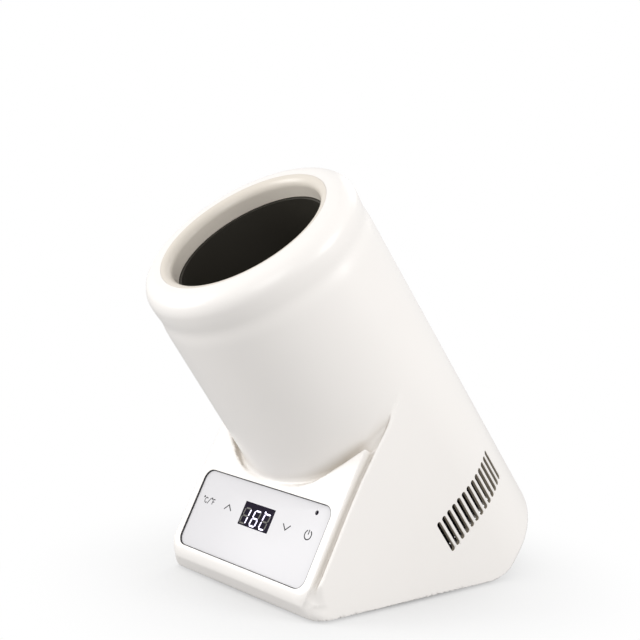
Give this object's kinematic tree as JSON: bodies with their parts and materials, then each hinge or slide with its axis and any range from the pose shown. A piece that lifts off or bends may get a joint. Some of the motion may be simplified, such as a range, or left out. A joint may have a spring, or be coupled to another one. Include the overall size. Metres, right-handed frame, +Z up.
{
  "type": "wine cooler",
  "caption": "Countertop cooler for one wine bottle: a forward-leaning insulated tube on a wedge base with a sloping touch panel, side vents, a Peltier cooling unit and a fan.",
  "frame": {"origin": "centre of the bounding box at the standing surface, under the feet", "axes": "+Z up; the control panel and the leaning mouth face -Y; the power jack is on the +Y side; +X is the right side seen from behind the object, so the viewer facing the panel has +X on the right"},
  "size_m": [0.1458, 0.2712, 0.2551],
  "materials": {
    "casing": "smooth glossy moulded ABS, warm white",
    "liner": "dark anodised, satin",
    "foam_rubber": "matt closed-cell foam rubber",
    "silicone": "matt silicone",
    "foam": "matt insulating foam",
    "thermal_pad": "matt thermal pad",
    "bare_aluminium": "machined",
    "alumina": "matt alumina",
    "pellets": "dull semiconductor",
    "screw_steel": "zinc plated",
    "shaft_steel": "ground",
    "nylon": "natural nylon",
    "anodised_aluminium": "black anodised, satin",
    "black_plastic": "fine-textured black plastic",
    "copper_winding": "enamelled copper",
    "magnet": "ferrite",
    "panel_glass": "glossy back-printed overlay, light cool white",
    "display_black": "dark display window",
    "segment_lit": "lit display segments",
    "segment_unlit": "unlit display segments",
    "indicator": "dark indicator lens",
    "spring_bronze": "spring bronze",
    "circuit_board": "green solder mask",
    "component_black": "moulded component bodies",
    "foot_rubber": "matt rubber",
    "wire_grey": "grey wire insulation",
    "wire_black": "black wire insulation",
    "wire_red": "red wire insulation"
  },
  "bodies": {
    "cooler": {"main_housing": "casing", "rim_collar": "casing", "well_liner": "liner", "liner_gasket": "foam_rubber", "bottle_pad": "silicone", "foam_jacket": "foam", "foam_floor": "foam", "thermal_pad": "thermal_pad", "cold_block": "bare_aluminium", "peltier_cold_plate": "alumina", "peltier_pellets": "pellets", "peltier_hot_plate": "alumina", "peltier_seal": "foam_rubber", "clamp_screws": "screw_steel", "clamp_bushes": "nylon", "heat_sink": "anodised_aluminium", "air_baffle": "black_plastic", "fan_frame": "black_plastic", "fan_stator": "copper_winding", "fan_screws": "screw_steel", "temperature_sensor": "black_plastic", "touch_glass": "panel_glass", "display_module": "display_black", "lit_segments": "segment_lit", "unlit_segments": "segment_unlit", "indicator_led": "indicator", "touch_springs": "spring_bronze", "control_board": "circuit_board", "board_screws": "screw_steel", "power_board": "circuit_board", "power_components": "component_black", "power_board_screws": "screw_steel", "power_jack": "black_plastic", "base_cover": "casing", "base_screws": "screw_steel", "rubber_feet": "foot_rubber", "panel_cable": "wire_grey", "jack_lead": "wire_black", "peltier_leads": "wire_red", "fan_lead": "wire_black", "sensor_lead": "wire_grey"},
    "fan": {"fan_rotor": "black_plastic", "fan_magnet": "magnet", "fan_shaft": "shaft_steel"}
  },
  "joints": [
    {"name": "fan_spin", "type": "hinge", "parent": "cooler", "child": "fan", "pos_m": [0, 0.0543, 0.03775], "axis": [0, -0.6157, 0.788], "continuous": true}
  ]
}
